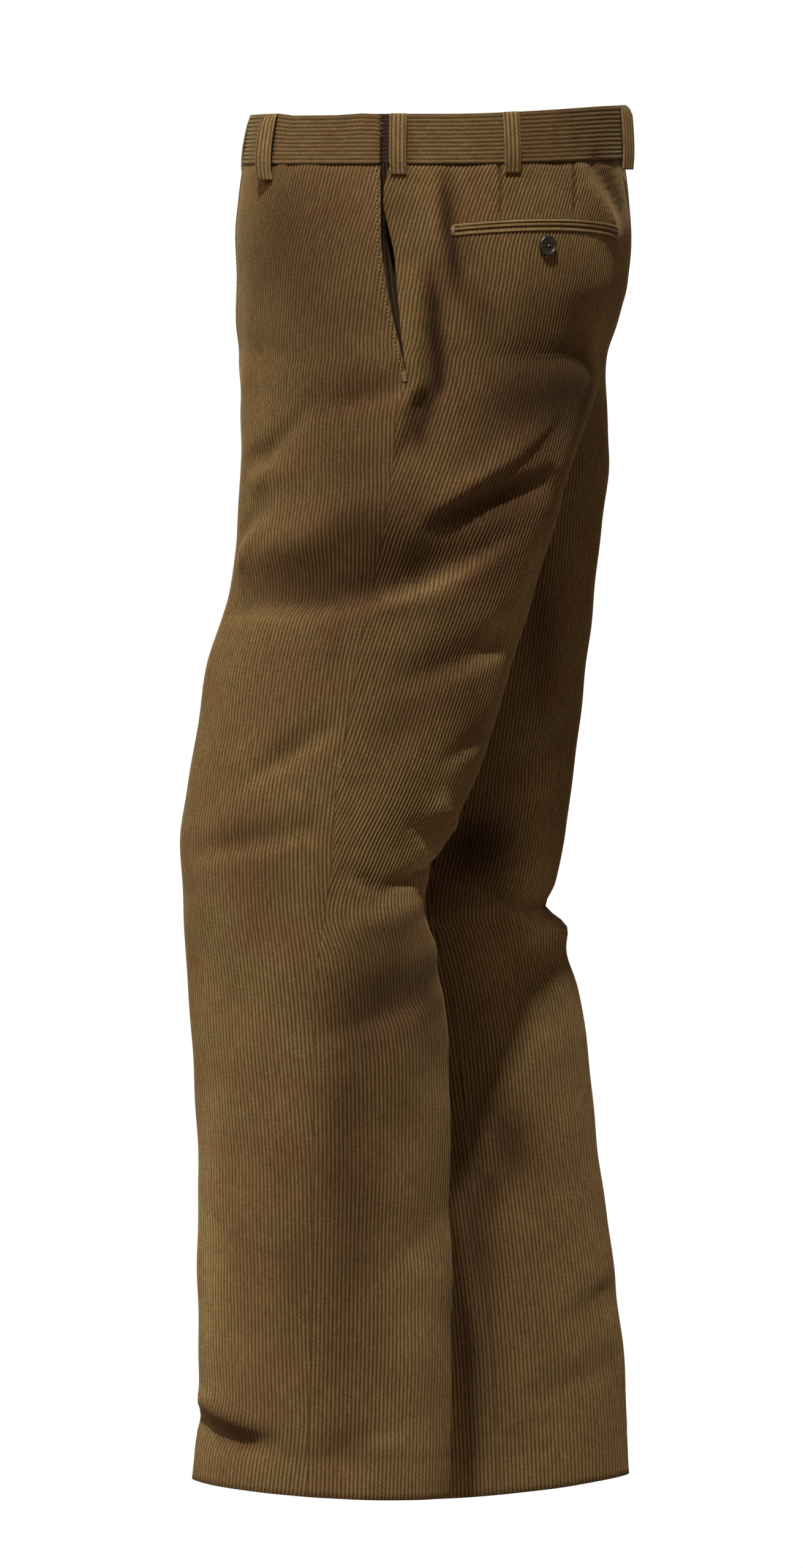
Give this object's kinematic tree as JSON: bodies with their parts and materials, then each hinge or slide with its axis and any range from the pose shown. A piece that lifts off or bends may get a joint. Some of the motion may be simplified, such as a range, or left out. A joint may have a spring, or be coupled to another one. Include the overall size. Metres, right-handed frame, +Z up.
{
  "type": "corduroy trousers",
  "caption": "Full-length wide-wale corduroy trousers, filled out as if worn and mid-step, with waistband, belt loops, side-seam pockets and buttoned jetted back pockets.",
  "frame": {"origin": "middle of the waist opening, half-way up the waistband's height at the front", "axes": "+Z up along the hanging length, -Y towards the front of the trousers, +X towards the wearer's left leg"},
  "size_m": [0.3442, 0.342, 1.1018],
  "materials": {
    "corduroy_panels": "matt cotton corduroy with eight wide wales to the inch, brown",
    "corduroy_waistband": "matt cotton corduroy with its wales running round the waist, brown",
    "corduroy_trim": "matt cotton corduroy, folded and pressed, brown",
    "dark_horn": "satin dark brown four-hole button",
    "fly_cotton": "plain woven cotton, brown"
  },
  "bodies": {
    "root": {"left_front": "corduroy_panels", "left_back": "corduroy_panels", "right_front": "corduroy_panels", "right_back": "corduroy_panels", "waistband_front_left": "corduroy_waistband", "waistband_front_right": "corduroy_waistband", "waistband_back": "corduroy_waistband", "belt_loop_front_left": "corduroy_trim", "belt_loop_side_left": "corduroy_trim", "belt_loop_back_left": "corduroy_trim", "belt_loop_centre_back": "corduroy_trim", "belt_loop_back_right": "corduroy_trim", "belt_loop_side_right": "corduroy_trim", "belt_loop_front_right": "corduroy_trim", "side_pocket_facing_left": "corduroy_trim", "side_pocket_facing_right": "corduroy_trim", "back_pocket_upper_jet_left": "corduroy_trim", "back_pocket_upper_jet_right": "corduroy_trim", "back_pocket_lower_jet_left": "corduroy_trim", "back_pocket_lower_jet_right": "corduroy_trim", "pocket_button_left": "dark_horn", "pocket_button_right": "dark_horn", "fly_facing": "fly_cotton"}
  },
  "joints": []
}
